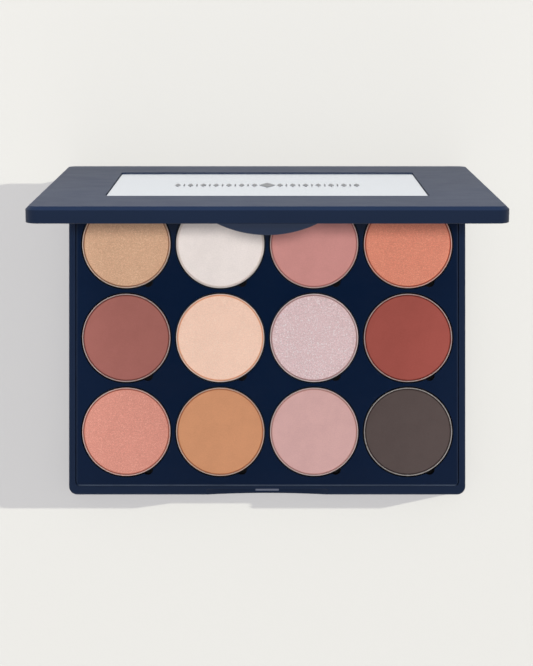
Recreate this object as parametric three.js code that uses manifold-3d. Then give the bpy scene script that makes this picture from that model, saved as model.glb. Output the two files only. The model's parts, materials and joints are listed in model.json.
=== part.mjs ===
// Eyeshadow palette: a hinged plastic case whose tray holds twelve lift-out metal pans of pressed powder on
// a magnetic sheet, under a lid with a mirror inside and a metal plaque outside.
// Millimetres, +Z up. The origin is the centre of the flat underside and +Y points back to the hinge.
// The lid stands open at its rest angle; its pieces are drawn shut and then turned about the hinge axis.

import * as THREE from 'three';
import { mergeVertices } from 'three/addons/utils/BufferGeometryUtils.js';
import Module from 'manifold-3d';

// Pans and their grid
const PAN_COLUMNS = 4;
const PAN_ROWS = 3;
const PAN_DIAMETER = 26;
const PAN_DEPTH = 4.1;
const PAN_SHEET = 0.28;
const PAN_FOOT_CHAMFER = 0.5;
const WELL_CLEARANCE = 0.25;
const WELL_WEB = 0.9;
const NOTCH_RADIUS = 1.5;
const NOTCH_REACH = 0.95;
const NOTCH_ANGLE = -60.5;

// Pressed powder
const POWDER_SIDE_GAP = 0.1;
const POWDER_SHOULDER = 0.7;
const POWDER_SHOULDER_DROP = 0.35;
const POWDER_CROWN = 0.1;
const POWDER_BELOW_RIM = 0.15;

// Base case, tray and magnetic sheet
const RIM_SIDE = 1.9;
const RIM_FRONT = 2.5;
const RIM_ABOVE_PANS = 0.4;
const CASE_FLOOR = 1.4;
const CASE_CORNER = 2.4;
const CASE_EDGE = 0.45;
const CAVITY_CORNER = 1.2;
const MAGNET_SHEET = 0.9;
const MAGNET_MARGIN = 1.6;
const DECK_BELOW_PAN_RIM = 0.15;
const DECK_PLATE = 1.2;
const DECK_MARGIN_SIDE = 1.4;
const DECK_MARGIN_FRONT = 2.4;
const DECK_MARGIN_BACK = 1.5;
const CORE_RADIUS = 3.6;
const TRAY_GAP = 0.15;
const SEAT_GAP = 0.1;

// Lid, outside
const LID_PARTING_GAP = 0.1;
const LID_OVERHANG = 0.7;
const LID_CORNER = 3.2;
const LID_EDGE = 0.85;
const LID_SKIN = 1.4;
const PLAQUE_WIDTH = 82;
const PLAQUE_LENGTH = 54.4;
const PLAQUE_THICKNESS = 0.4;
const PLAQUE_CORNER = 1;
const PLAQUE_EDGE = 0.12;
const PLAQUE_SINK = 0.3;
const PLAQUE_FROM_BACK = 17.9;

// Lid, inside
const MIRROR_SETBACK = 0.7;
const MIRROR_GLASS = 1.1;
const MIRROR_CORNER = 1.5;
const FRAME_WIDTH = 4;
const FRAME_LIP = 0.3;
const FRAME_LIP_OVERLAP = 0.8;
const TAPE_THICKNESS = 0.3;
const TAPE_MARGIN = 4;

// Hinge
const LID_REST_ANGLE = 78.65;
const LID_CHAMFER_ANGLE = 47;
const CASE_CHAMFER_ANGLE = 58;
const PIN_DIAMETER = 1.2;
const PIN_RUNNING_GAP = 0.3;
const PIN_FIXED_GAP = 0.05;
const PIN_END_RECESS = 0.4;
const BARREL_RADIUS = 2;
const BARREL_GAP = 0.35;
const BARREL_SETBACK = 0.2;
const BARREL_INNER_WALL = 1.05;
const OUTER_EAR = 12.2;
const KNUCKLE = 14;
const INNER_EAR = 6;
const EAR_BLIND_WALL = 0.8;
const KNUCKLE_END_GAP = 0.3;

// Thumb pocket, lid tab and latch
const POCKET_WIDTH = 35.6;
const POCKET_SILL = 1.5;
const POCKET_WALL = 0.8;
const TAB_WIDTH = 24.3;
const TAB_DROP = 2.8;
const TAB_THICKNESS = 1;
const TAB_SETBACK = 0.25;
const LATCH_WIDTH = 6.8;
const NIB_PROUD = 0.6;
const NIB_HEIGHT = 1.1;
const NIB_BELOW_RIM = 0.5;
const CATCH_PROUD = 0.35;
const CATCH_HEIGHT = 0.7;
const LATCH_PASSING_GAP = 0.15;

// Fineness of round stretches, and how far a cutting body runs past what it cuts
const ROUND_STEPS = 32;
const BARREL_STEPS = 24;
const EDGE_STEPS = 2;
const PAST = 1;
const WELD = 1e-4;

// Sizes that follow from the ones above
const panRadius = PAN_DIAMETER / 2;
const wellRadius = panRadius + WELL_CLEARANCE;
const pitch = 2 * wellRadius + WELL_WEB;
const deckWidth = (PAN_COLUMNS - 1) * pitch + 2 * (wellRadius + DECK_MARGIN_SIDE);
const deckLength = (PAN_ROWS - 1) * pitch + 2 * wellRadius + DECK_MARGIN_FRONT + DECK_MARGIN_BACK;
const barrelSetback = BARREL_RADIUS + BARREL_SETBACK;
const hingeShelf = barrelSetback + BARREL_RADIUS + BARREL_GAP + BARREL_INNER_WALL;
const caseHalfWidth = deckWidth / 2 + TRAY_GAP + RIM_SIDE;
const caseLength = RIM_FRONT + deckLength + 2 * TRAY_GAP + hingeShelf;
const caseFront = -caseLength / 2;
const caseBack = caseLength / 2;

const magnetBottom = CASE_FLOOR + SEAT_GAP;
const magnetTop = magnetBottom + MAGNET_SHEET;
const panBottom = magnetTop + SEAT_GAP;
const panTop = panBottom + PAN_DEPTH;
const deckTop = panTop - DECK_BELOW_PAN_RIM;
const caseHeight = panTop + RIM_ABOVE_PANS;

const lidBottom = caseHeight + LID_PARTING_GAP;
const frameBottom = lidBottom + MIRROR_SETBACK;
const glassBottom = frameBottom + FRAME_LIP + SEAT_GAP;
const glassTop = glassBottom + MIRROR_GLASS;
const tapeBottom = glassTop + SEAT_GAP;
const tapeTop = tapeBottom + TAPE_THICKNESS;
const lidCeiling = tapeTop + SEAT_GAP;
const lidTop = lidCeiling + LID_SKIN;
const lidFront = caseFront - LID_OVERHANG;

const hingeY = caseBack - barrelSetback;
const hingeZ = caseHeight;
const earOuterX = caseHalfWidth;
const knuckleOuterX = earOuterX - OUTER_EAR;
const knuckleInnerX = knuckleOuterX - KNUCKLE;
const earInnerX = knuckleInnerX - INNER_EAR;
const pinRadius = PIN_DIAMETER / 2;
const boreEndX = earInnerX + EAR_BLIND_WALL;

const pocketBack = caseFront + RIM_FRONT - POCKET_WALL;
const nibTop = caseHeight - NIB_BELOW_RIM;
const catchTop = nibTop - NIB_HEIGHT - LATCH_PASSING_GAP;
const tabFront = lidFront + TAB_SETBACK;
const tabBack = tabFront + TAB_THICKNESS;

const cavity = {
  left: -deckWidth / 2 - TRAY_GAP,
  right: deckWidth / 2 + TRAY_GAP,
  front: caseFront + RIM_FRONT,
  back: caseBack - hingeShelf,
};
const plaque = {
  left: -PLAQUE_WIDTH / 2,
  right: PLAQUE_WIDTH / 2,
  front: caseBack - PLAQUE_FROM_BACK - PLAQUE_LENGTH,
  back: caseBack - PLAQUE_FROM_BACK,
};

const FINISHES = {
  shell: { color: 0x1f2a3d, roughness: 0.45, metalness: 0 },
  deck: { color: 0x0d2038, roughness: 0.5, metalness: 0 },
  magnet: { color: 0x2b2b2d, roughness: 0.9, metalness: 0 },
  steel: { color: 0xb9bbbe, roughness: 0.35, metalness: 1 },
  pan: { color: 0xc9c7c4, roughness: 0.4, metalness: 1 },
  plaque: { color: 0xe0e3e8, roughness: 0.25, metalness: 1 },
  frame: { color: 0x1b2436, roughness: 0.5, metalness: 0 },
  mirror: { color: 0xe9edf0, roughness: 0.03, metalness: 1 },
  tape: { color: 0xd8d6d0, roughness: 0.9, metalness: 0 },
};

// Powder colours, from the back row to the front row and from left to right
const POWDER_COLOURS = [
  0xcda486, 0xe5dbd7, 0xc78b86, 0xd58570,
  0x9e645d, 0xecc6b3, 0xd5babc, 0x9c5048,
  0xd69282, 0xc88f6a, 0xcda4a0, 0x57514a,
];

const wasm = await Module();
wasm.setup();

// A closed three.js geometry as a solid that can be joined and cut.
function solidFrom(geometry) {
  geometry.deleteAttribute('normal');
  geometry.deleteAttribute('uv');
  const merged = mergeVertices(geometry, WELD);
  const corners = merged.index.array;
  const kept = [];
  for (let i = 0; i < corners.length; i += 3) {
    const [a, b, c] = corners.slice(i, i + 3);
    if (a !== b && b !== c && c !== a) kept.push(a, b, c);
  }
  return new wasm.Manifold(new wasm.Mesh({
    numProp: 3,
    vertProperties: merged.attributes.position.array,
    triVerts: new Uint32Array(kept),
  }));
}

// A solid as a three.js geometry.
function geometryFrom(solid) {
  const { vertProperties, triVerts } = solid.getMesh();
  const geometry = new THREE.BufferGeometry();
  geometry.setAttribute('position', new THREE.BufferAttribute(vertProperties, 3));
  geometry.setIndex(new THREE.BufferAttribute(triVerts, 1));
  geometry.computeVertexNormals();
  return geometry;
}

// A named piece with its finish.
function piece(name, solid, finish) {
  const mesh = new THREE.Mesh(geometryFrom(solid), new THREE.MeshStandardMaterial(finish));
  mesh.name = name;
  return mesh;
}

// Points along an arc, both ends included, at steps of a full turn divided by turnSteps.
function arc(x, y, radius, from, to, turnSteps = ROUND_STEPS) {
  const steps = Math.max(2, Math.round((Math.abs(to - from) / (2 * Math.PI)) * turnSteps));
  return Array.from({ length: steps + 1 }, (_, i) => {
    const angle = from + ((to - from) * i) / steps;
    return new THREE.Vector2(x + radius * Math.cos(angle), y + radius * Math.sin(angle));
  });
}

// A rectangle with round corners, drawn anticlockwise, made smaller all round by inset.
function roundedRectangle({ left, right, front, back }, corner, inset = 0) {
  const r = Math.max(corner - inset, corner / 3);
  const [x0, x1, y0, y1] = [left + inset + r, right - inset - r, front + inset + r, back - inset - r];
  const quarter = Math.PI / 2;
  return new THREE.Shape([
    ...arc(x1, y0, r, -quarter, 0),
    ...arc(x1, y1, r, 0, quarter),
    ...arc(x0, y1, r, quarter, 2 * quarter),
    ...arc(x0, y0, r, 2 * quarter, 3 * quarter),
  ]);
}

// An outline raised from bottom to top, with its top and bottom edges rounded when edge is given.
function slab(outline, bottom, top, edge = 0) {
  const geometry = new THREE.ExtrudeGeometry(outline, {
    depth: top - bottom - 2 * edge,
    bevelEnabled: edge > 0,
    bevelThickness: edge,
    bevelSize: edge,
    bevelOffset: -edge,
    bevelSegments: EDGE_STEPS,
  });
  return solidFrom(geometry.translate(0, 0, bottom + edge));
}

// A list of points drawn out by depth, with sharp edges.
function prism(points, depth) {
  return new THREE.ExtrudeGeometry(new THREE.Shape(points), { depth, bevelEnabled: false });
}

// An outline in (y, z) drawn out along X.
function alongX(points, x0, x1) {
  const toRow = new THREE.Matrix4().makeBasis(
    new THREE.Vector3(0, 1, 0),
    new THREE.Vector3(0, 0, 1),
    new THREE.Vector3(1, 0, 0),
  );
  return solidFrom(prism(points, x1 - x0).applyMatrix4(toRow).translate(x0, 0, 0));
}

// An outline in (x, z) drawn out along Y.
function alongY(points, y0, y1) {
  return solidFrom(prism(points, y1 - y0).rotateX(Math.PI / 2).translate(0, y1, 0));
}

// A round bar on the hinge axis from x0 to x1.
function hingeBar(radius, x0, x1) {
  const bar = new THREE.CylinderGeometry(radius, radius, Math.abs(x1 - x0), BARREL_STEPS);
  return solidFrom(bar.rotateZ(Math.PI / 2).translate((x0 + x1) / 2, hingeY, hingeZ));
}

// A profile of [radius, height] pairs turned about the vertical.
function turned(profile) {
  const points = profile.map(([radius, height]) => new THREE.Vector2(radius, height));
  return solidFrom(new THREE.LatheGeometry(points, ROUND_STEPS).rotateX(Math.PI / 2));
}

// The part of a disc that hangs below the level top, as wide as width there and drop deep.
// Its sides run on upwards by rise.
function hangingSegment(width, drop, top, rise) {
  const half = width / 2;
  const radius = (half * half + drop * drop) / (2 * drop);
  const centre = top - drop + radius;
  const sweep = Math.asin(half / radius);
  const down = -Math.PI / 2;
  const curve = arc(0, centre, radius, down - sweep, down + sweep, 4 * ROUND_STEPS);
  return [...curve, new THREE.Vector2(half, top + rise), new THREE.Vector2(-half, top + rise)];
}

// Pan centres from the back row to the front row and from left to right.
function panCentres() {
  const firstX = (-(PAN_COLUMNS - 1) * pitch) / 2;
  const frontY = cavity.front + TRAY_GAP + DECK_MARGIN_FRONT + wellRadius;
  const centres = [];
  for (let row = PAN_ROWS - 1; row >= 0; row -= 1) {
    for (let column = 0; column < PAN_COLUMNS; column += 1) {
      centres.push(new THREE.Vector2(firstX + column * pitch, frontY + row * pitch));
    }
  }
  return centres;
}

// The outline of a pan's well: a circle with a small round notch, where a pin lifts the pan out.
function wellOutline(centre) {
  const towards = THREE.MathUtils.degToRad(NOTCH_ANGLE);
  const offset = wellRadius + NOTCH_REACH - NOTCH_RADIUS;
  const notchX = centre.x + offset * Math.cos(towards);
  const notchY = centre.y + offset * Math.sin(towards);
  const [R, r, d] = [wellRadius, NOTCH_RADIUS, offset];
  const wellHalf = Math.acos((R * R + d * d - r * r) / (2 * R * d));
  const notchHalf = Math.acos((R * R - d * d - r * r) / (2 * d * r));
  const round = arc(centre.x, centre.y, R, towards + wellHalf, towards - wellHalf + 2 * Math.PI);
  const notch = arc(notchX, notchY, r, towards - notchHalf, towards + notchHalf);
  return new THREE.Path([...round, ...notch.slice(1, -1)]);
}

// The wedge behind the hinge axis that one half leaves free for the other, from the level of the
// axis to the chamfer's plane. up is 1 above that level and -1 below it.
function hingeWedge(chamferAngle, up) {
  const reach = barrelSetback + PAST;
  const rise = up * reach * Math.tan(THREE.MathUtils.degToRad(chamferAngle));
  const points = [
    new THREE.Vector2(hingeY, hingeZ),
    new THREE.Vector2(hingeY + reach, hingeZ + rise),
    new THREE.Vector2(hingeY + reach, hingeZ - up * PAST),
    new THREE.Vector2(hingeY, hingeZ - up * PAST),
  ];
  if (up < 0) points.reverse();
  const far = caseHalfWidth + LID_OVERHANG + PAST;
  return alongX(points.reverse(), -far, far);
}

// A latch bar with one sloping face, from the wall at y out to y + proud, and from the level top
// down by height.
function latchBar(y, proud, top, height, slopeAtTop) {
  const slope = Math.abs(proud) / 2;
  const outerTop = slopeAtTop ? top - slope : top;
  const outerBottom = slopeAtTop ? top - height : top - height + slope;
  const root = y - Math.sign(proud) * (POCKET_WALL / 4);
  const points = [
    new THREE.Vector2(root, top - height),
    new THREE.Vector2(y + proud, outerBottom),
    new THREE.Vector2(y + proud, outerTop),
    new THREE.Vector2(root, top),
  ];
  if (proud < 0) points.reverse();
  return alongX(points, -LATCH_WIDTH / 2, LATCH_WIDTH / 2);
}

// Lower case: a shallow box with a rim, a thumb pocket in front and hinge ears at the back.
function baseCase() {
  const outline = { left: -caseHalfWidth, right: caseHalfWidth, front: caseFront, back: caseBack };
  const pocket = hangingSegment(POCKET_WIDTH, caseHeight - POCKET_SILL, caseHeight, PAST);
  let solid = slab(roundedRectangle(outline, CASE_CORNER), 0, caseHeight, CASE_EDGE)
    .subtract(slab(roundedRectangle(cavity, CAVITY_CORNER), CASE_FLOOR, caseHeight + PAST))
    .subtract(alongY(pocket, caseFront - PAST, pocketBack))
    .subtract(hingeWedge(CASE_CHAMFER_ANGLE, -1))
    .add(latchBar(pocketBack, -NIB_PROUD, nibTop, NIB_HEIGHT, true));
  for (const side of [-1, 1]) {
    solid = solid
      .add(hingeBar(BARREL_RADIUS, side * earInnerX, side * knuckleInnerX))
      .add(hingeBar(BARREL_RADIUS, side * knuckleOuterX, side * earOuterX))
      .subtract(hingeBar(BARREL_RADIUS + BARREL_GAP, side * knuckleInnerX, side * knuckleOuterX))
      .subtract(hingeBar(pinRadius + PIN_FIXED_GAP, side * boreEndX, side * (earOuterX + PAST)));
  }
  return solid;
}

// Pan tray: the deck with a notched well for each pan, cored out from below between the wells.
function panTray() {
  const outline = roundedRectangle(cavity, CAVITY_CORNER, TRAY_GAP);
  const centres = panCentres();
  outline.holes = centres.map(wellOutline);
  let solid = slab(outline, magnetTop + SEAT_GAP, deckTop);
  for (let row = 0; row < PAN_ROWS - 1; row += 1) {
    for (let column = 0; column < PAN_COLUMNS - 1; column += 1) {
      const well = centres[row * PAN_COLUMNS + column];
      const circle = arc(well.x + pitch / 2, well.y - pitch / 2, CORE_RADIUS, 0, 2 * Math.PI);
      solid = solid.subtract(slab(new THREE.Shape(circle.slice(1)), magnetBottom, deckTop - DECK_PLATE));
    }
  }
  return solid;
}

// Magnetic sheet under the tray.
function magnetSheet() {
  return slab(roundedRectangle(cavity, CAVITY_CORNER, MAGNET_MARGIN), magnetBottom, magnetTop);
}

// Hinge pin of one side.
function hingePin(side) {
  return hingeBar(pinRadius, side * (boreEndX + PIN_RUNNING_GAP), side * (earOuterX - PIN_END_RECESS));
}

// Pressed metal pan, standing on the level z = 0.
function pan() {
  return turned([
    [0, 0],
    [panRadius - PAN_FOOT_CHAMFER, 0],
    [panRadius, PAN_FOOT_CHAMFER],
    [panRadius, PAN_DEPTH],
    [panRadius - PAN_SHEET, PAN_DEPTH],
    [panRadius - PAN_SHEET, PAN_SHEET],
    [0, PAN_SHEET],
  ]);
}

// Pressed powder in a pan that stands on z = 0: lightly crowned, with a rounded shoulder.
function powder() {
  const radius = panRadius - PAN_SHEET - POWDER_SIDE_GAP;
  const shoulder = PAN_DEPTH - POWDER_BELOW_RIM - POWDER_CROWN;
  return turned([
    [0, PAN_SHEET + SEAT_GAP],
    [radius, PAN_SHEET + SEAT_GAP],
    [radius, shoulder - POWDER_SHOULDER_DROP],
    [radius - POWDER_SHOULDER, shoulder],
    [0, shoulder + POWDER_CROWN],
  ]);
}

// Lid shell, shut: a shallow tray turned over, with the plaque's recess, two knuckles and the tab.
function lidShell() {
  const half = caseHalfWidth + LID_OVERHANG;
  const outline = { left: -half, right: half, front: lidFront, back: caseBack };
  const belowRim = lidBottom - LID_EDGE - PAST;
  const recessFloor = lidTop - PLAQUE_SINK - PLAQUE_THICKNESS - SEAT_GAP;
  const tab = hangingSegment(TAB_WIDTH, TAB_DROP, lidBottom, MIRROR_SETBACK);
  let solid = slab(roundedRectangle(outline, LID_CORNER), belowRim, lidTop, LID_EDGE)
    .subtract(slab(roundedRectangle(outline, LID_CORNER, -PAST), belowRim - PAST, lidBottom))
    .subtract(slab(roundedRectangle(cavity, CAVITY_CORNER), lidBottom - PAST, lidCeiling))
    .subtract(slab(roundedRectangle(plaque, PLAQUE_CORNER), recessFloor, lidTop + PAST))
    .subtract(hingeWedge(LID_CHAMFER_ANGLE, 1))
    .add(alongY(tab, tabFront, tabBack))
    .add(latchBar(tabBack, CATCH_PROUD, catchTop, CATCH_HEIGHT, false));
  const clear = BARREL_RADIUS + BARREL_GAP;
  const knuckleStart = knuckleInnerX + KNUCKLE_END_GAP;
  const knuckleEnd = knuckleOuterX - KNUCKLE_END_GAP;
  solid = solid.subtract(hingeBar(BARREL_GAP, -knuckleStart, knuckleStart));
  for (const side of [-1, 1]) {
    solid = solid
      .subtract(hingeBar(clear, side * (earInnerX - KNUCKLE_END_GAP), side * knuckleStart))
      .subtract(hingeBar(clear, side * knuckleEnd, side * (half + PAST)))
      .add(hingeBar(BARREL_RADIUS, side * knuckleStart, side * knuckleEnd))
      .subtract(hingeBar(pinRadius + PIN_RUNNING_GAP, side * boreEndX, side * (knuckleEnd + PAST)));
  }
  return solid;
}

// Metal plaque let into the lid's outer face.
function lidPlaque() {
  const outline = roundedRectangle(plaque, PLAQUE_CORNER, TRAY_GAP);
  return slab(outline, lidTop - PLAQUE_SINK - PLAQUE_THICKNESS, lidTop - PLAQUE_SINK, PLAQUE_EDGE);
}

// Frame that holds the mirror in the lid, with a thin lip over the glass.
function mirrorFrame() {
  const seat = roundedRectangle(cavity, MIRROR_CORNER, FRAME_WIDTH);
  const window = roundedRectangle(cavity, MIRROR_CORNER, FRAME_WIDTH + FRAME_LIP_OVERLAP);
  return slab(roundedRectangle(cavity, CAVITY_CORNER, TRAY_GAP), frameBottom, tapeTop)
    .subtract(slab(seat, frameBottom + FRAME_LIP, tapeTop + PAST))
    .subtract(slab(window, frameBottom - PAST, tapeTop));
}

// Mirror glass behind the frame's lip.
function mirror() {
  return slab(roundedRectangle(cavity, MIRROR_CORNER, FRAME_WIDTH + TRAY_GAP), glassBottom, glassTop);
}

// Adhesive pad between the glass and the lid.
function mirrorTape() {
  return slab(roundedRectangle(cavity, MIRROR_CORNER, FRAME_WIDTH + TAPE_MARGIN), tapeBottom, tapeTop);
}

const palette = new THREE.Group();
palette.add(
  piece('base_case', baseCase(), FINISHES.shell),
  piece('pan_tray', panTray(), FINISHES.deck),
  piece('magnet_sheet', magnetSheet(), FINISHES.magnet),
  piece('hinge_pin_left', hingePin(-1), FINISHES.steel),
  piece('hinge_pin_right', hingePin(1), FINISHES.steel),
);

panCentres().forEach((centre, index) => {
  const filled = new THREE.Group();
  filled.position.set(centre.x, centre.y, panBottom);
  const colour = { color: POWDER_COLOURS[index], roughness: 0.8, metalness: 0 };
  filled.add(
    piece(`pan_${index + 1}`, pan(), FINISHES.pan),
    piece(`powder_${index + 1}`, powder(), colour),
  );
  palette.add(filled);
});

const lidHinge = new THREE.Group();
lidHinge.position.set(0, hingeY, hingeZ);
lidHinge.rotation.x = -THREE.MathUtils.degToRad(LID_REST_ANGLE);
const lid = new THREE.Group();
lid.position.set(0, -hingeY, -hingeZ);
lid.add(
  piece('lid_shell', lidShell(), FINISHES.shell),
  piece('lid_plaque', lidPlaque(), FINISHES.plaque),
  piece('mirror_frame', mirrorFrame(), FINISHES.frame),
  piece('mirror', mirror(), FINISHES.mirror),
  piece('mirror_tape', mirrorTape(), FINISHES.tape),
);
lidHinge.add(lid);
palette.add(lidHinge);

export default palette;
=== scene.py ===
"""Looks of a twelve-pan eyeshadow palette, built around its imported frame.

Each sub-assembly is a class that models its pieces at their place in the row frame, in metres, and
dresses them in a finish. Pieces of the lid are modelled with the lid shut and then opened about the hinge.
"""
import json
import logging
import math
from collections.abc import Callable
from dataclasses import dataclass
from enum import Enum

import bpy
from mathutils import Matrix, Vector


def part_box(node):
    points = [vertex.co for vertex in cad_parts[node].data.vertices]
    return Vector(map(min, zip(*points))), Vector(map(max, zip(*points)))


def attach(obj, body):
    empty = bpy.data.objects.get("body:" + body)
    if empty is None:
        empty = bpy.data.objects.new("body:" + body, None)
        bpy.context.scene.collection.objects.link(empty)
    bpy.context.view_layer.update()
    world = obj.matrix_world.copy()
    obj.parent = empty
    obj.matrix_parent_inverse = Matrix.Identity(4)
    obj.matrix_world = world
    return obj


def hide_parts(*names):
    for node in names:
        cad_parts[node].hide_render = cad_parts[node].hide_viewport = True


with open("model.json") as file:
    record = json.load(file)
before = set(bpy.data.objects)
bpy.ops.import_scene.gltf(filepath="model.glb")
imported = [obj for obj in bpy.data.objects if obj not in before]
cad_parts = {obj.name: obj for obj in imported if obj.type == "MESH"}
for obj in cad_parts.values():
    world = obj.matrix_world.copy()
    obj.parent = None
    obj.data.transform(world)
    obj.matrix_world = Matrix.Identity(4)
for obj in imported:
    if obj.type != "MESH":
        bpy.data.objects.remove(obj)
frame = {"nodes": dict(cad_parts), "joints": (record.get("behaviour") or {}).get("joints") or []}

LOG = logging.getLogger("palette")
MM = 0.001
TOUCH = 0.01 * MM
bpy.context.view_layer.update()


def linear(red: int, green: int, blue: int) -> tuple[float, float, float, float]:
    """Turns an 8-bit display colour into a linear one.

    Args:
        red: red from 0 to 255.
        green: green from 0 to 255.
        blue: blue from 0 to 255.

    Returns:
        The linear colour with full alpha.
    """
    shares = (channel / 255 for channel in (red, green, blue))
    return (*((s / 12.92 if s <= 0.04045 else ((s + 0.055) / 1.055) ** 2.4) for s in shares), 1.0)


def scaled(colour: tuple[float, ...], factor: float) -> tuple[float, float, float, float]:
    """Returns a linear colour made lighter or darker by a factor."""
    return (*(min(1.0, channel * factor) for channel in colour[:3]), 1.0)


# ---------------------------------------------------------------- modelling


class Axis(Enum):
    """An axis of the row frame."""

    X = "X"
    Y = "Y"
    Z = "Z"


class Pick(Enum):
    """What an edit-mode step selects."""

    EDGES = "EDGES"
    FACES = "FACES"


AXIS_TURNS: dict[Axis, tuple[float, float, float]] = {
    Axis.X: (0, math.pi / 2, 0),
    Axis.Y: (math.pi / 2, 0, 0),
    Axis.Z: (0, 0, 0),
}


def take_up(*pieces: bpy.types.Object) -> None:
    """Selects these pieces and nothing else, and makes the first one active."""
    bpy.ops.object.select_all(action="DESELECT")
    for piece in pieces:
        piece.select_set(True)
    bpy.context.view_layer.objects.active = pieces[0]


def turn_about(point: Vector, angle: float) -> Matrix:
    """Returns a turn about the line along X through a point, positive by the right hand about +X."""
    return Matrix.Translation(point) @ Matrix.Rotation(angle, 4, "X") @ Matrix.Translation(-point)


@dataclass
class Workpiece:
    """One piece on the bench, and the steps that shape it. Its object stays at the origin."""

    piece: bpy.types.Object

    # Starting blanks

    @classmethod
    def _started(cls, name: str) -> "Workpiece":
        """Names the primitive just added and puts its place into its mesh.

        Args:
            name: the piece's name.

        Returns:
            The piece.
        """
        piece = bpy.context.view_layer.objects.active
        bpy.ops.object.transform_apply(location=True, rotation=True, scale=True)
        piece.name = name
        piece.data.name = name
        return cls(piece)

    @classmethod
    def block(cls, name: str, low: Vector, high: Vector) -> "Workpiece":
        """Starts a rectangular block.

        Args:
            name: the piece's name.
            low: its lowest corner.
            high: its highest corner.

        Returns:
            The block.
        """
        bpy.ops.object.select_all(action="DESELECT")
        size = Vector(high) - Vector(low)
        bpy.ops.mesh.primitive_cube_add(size=1, location=(Vector(low) + Vector(high)) / 2, scale=size)
        return cls._started(name)

    @classmethod
    def bar(
        cls, name: str, centre: Vector, radius: float, length: float, axis: Axis = Axis.Z, sides: int = 96
    ) -> "Workpiece":
        """Starts a round bar or disc.

        Args:
            name: the piece's name.
            centre: the middle of the bar.
            radius: its radius.
            length: its length along the axis.
            axis: the row axis that it lies along.
            sides: how many sides stand for the circle.

        Returns:
            The bar.
        """
        bpy.ops.object.select_all(action="DESELECT")
        bpy.ops.mesh.primitive_cylinder_add(
            vertices=sides, radius=radius, depth=length, location=centre, rotation=AXIS_TURNS[axis]
        )
        return cls._started(name)

    # Edit-mode steps

    def _edit(self, pick: Pick, test: Callable[[Vector, Vector], bool]) -> None:
        """Enters edit mode with the edges or faces selected that pass a test.

        Args:
            pick: whether edges or faces are tested.
            test: takes an edge's two ends, or a face's centre and normal.
        """
        mesh = self.piece.data
        for items in (mesh.vertices, mesh.edges, mesh.polygons):
            items.foreach_set("select", [False] * len(items))
        if pick is Pick.FACES:
            for face in mesh.polygons:
                face.select = test(face.center, face.normal)
        else:
            for edge in mesh.edges:
                start, end = (mesh.vertices[index].co for index in edge.vertices)
                edge.select = test(start, end)
        take_up(self.piece)
        bpy.context.tool_settings.mesh_select_mode = (False, pick is Pick.EDGES, pick is Pick.FACES)
        bpy.ops.object.mode_set(mode="EDIT")

    def _leave(self) -> "Workpiece":
        """Leaves edit mode and returns the piece."""
        bpy.ops.object.mode_set(mode="OBJECT")
        return self

    def bevel(self, test: Callable[[Vector, Vector], bool], width: float, segments: int) -> "Workpiece":
        """Rounds the edges whose two ends pass a test.

        Args:
            test: takes an edge's two ends.
            width: the rounding's radius.
            segments: how many strips make the round.

        Returns:
            The piece.
        """
        self._edit(Pick.EDGES, test)
        bpy.ops.mesh.bevel(offset=width, segments=segments, profile=0.5, affect="EDGES")
        return self._leave()

    def inset(self, test: Callable[[Vector, Vector], bool], width: float, rise: float = 0.0) -> "Workpiece":
        """Insets the faces that pass a test and lifts them.

        Args:
            test: takes a face's centre and normal.
            width: how far the new edge lies inside the old one.
            rise: how far the inner face is lifted along its normal.

        Returns:
            The piece.
        """
        self._edit(Pick.FACES, test)
        bpy.ops.mesh.inset(thickness=width, depth=rise)
        return self._leave()

    def extrude(self, test: Callable[[Vector, Vector], bool], move: Vector) -> "Workpiece":
        """Extrudes the faces that pass a test by a distance.

        Args:
            test: takes a face's centre and normal.
            move: the distance and direction.

        Returns:
            The piece.
        """
        self._edit(Pick.FACES, test)
        bpy.ops.mesh.extrude_region_move(TRANSFORM_OT_translate={"value": tuple(move)})
        return self._leave()

    def shift(self, test: Callable[[Vector, Vector], bool], move: Vector) -> "Workpiece":
        """Moves the edges whose two ends pass a test.

        Args:
            test: takes an edge's two ends.
            move: the distance and direction.

        Returns:
            The piece.
        """
        self._edit(Pick.EDGES, test)
        bpy.ops.transform.translate(value=tuple(move))
        return self._leave()

    def slice_off(self, point: Vector, outwards: Vector) -> "Workpiece":
        """Cuts off what lies beyond a plane and closes the cut.

        Args:
            point: a point on the plane.
            outwards: the plane's normal, towards what goes.

        Returns:
            The piece.
        """
        self._edit(Pick.FACES, lambda centre, normal: True)
        bpy.ops.mesh.bisect(plane_co=point, plane_no=outwards, use_fill=True, clear_outer=True)
        return self._leave()

    def tidy(self, angle: float = math.radians(0.5)) -> "Workpiece":
        """Merges doubled points and dissolves the seams that cuts leave in flat faces.

        Args:
            angle: the least angle between two faces that keeps the edge between them.

        Returns:
            The piece.
        """
        self._edit(Pick.FACES, lambda centre, normal: True)
        bpy.ops.mesh.remove_doubles(threshold=TOUCH / 5)
        bpy.ops.mesh.dissolve_limited(angle_limit=angle)
        return self._leave()

    # Modifiers, each applied

    def _apply(self, kind: str, **settings: object) -> "Workpiece":
        """Adds a modifier and applies it.

        Args:
            kind: the modifier's type.
            settings: its properties.

        Returns:
            The piece.
        """
        take_up(self.piece)
        modifier = self.piece.modifiers.new(kind.title(), kind)
        for name, value in settings.items():
            setattr(modifier, name, value)
        bpy.ops.object.modifier_apply(modifier=modifier.name)
        return self

    def _combine(self, operation: str, tool: "Workpiece") -> "Workpiece":
        """Cuts with or joins a tool, which is used up.

        Args:
            operation: DIFFERENCE or UNION.
            tool: the tool.

        Returns:
            The piece.
        """
        self._apply("BOOLEAN", operation=operation, solver="EXACT", object=tool.piece)
        bpy.data.objects.remove(tool.piece)
        return self

    def cut(self, tool: "Workpiece") -> "Workpiece":
        """Cuts the tool's shape out of the piece."""
        return self._combine("DIFFERENCE", tool)

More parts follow.
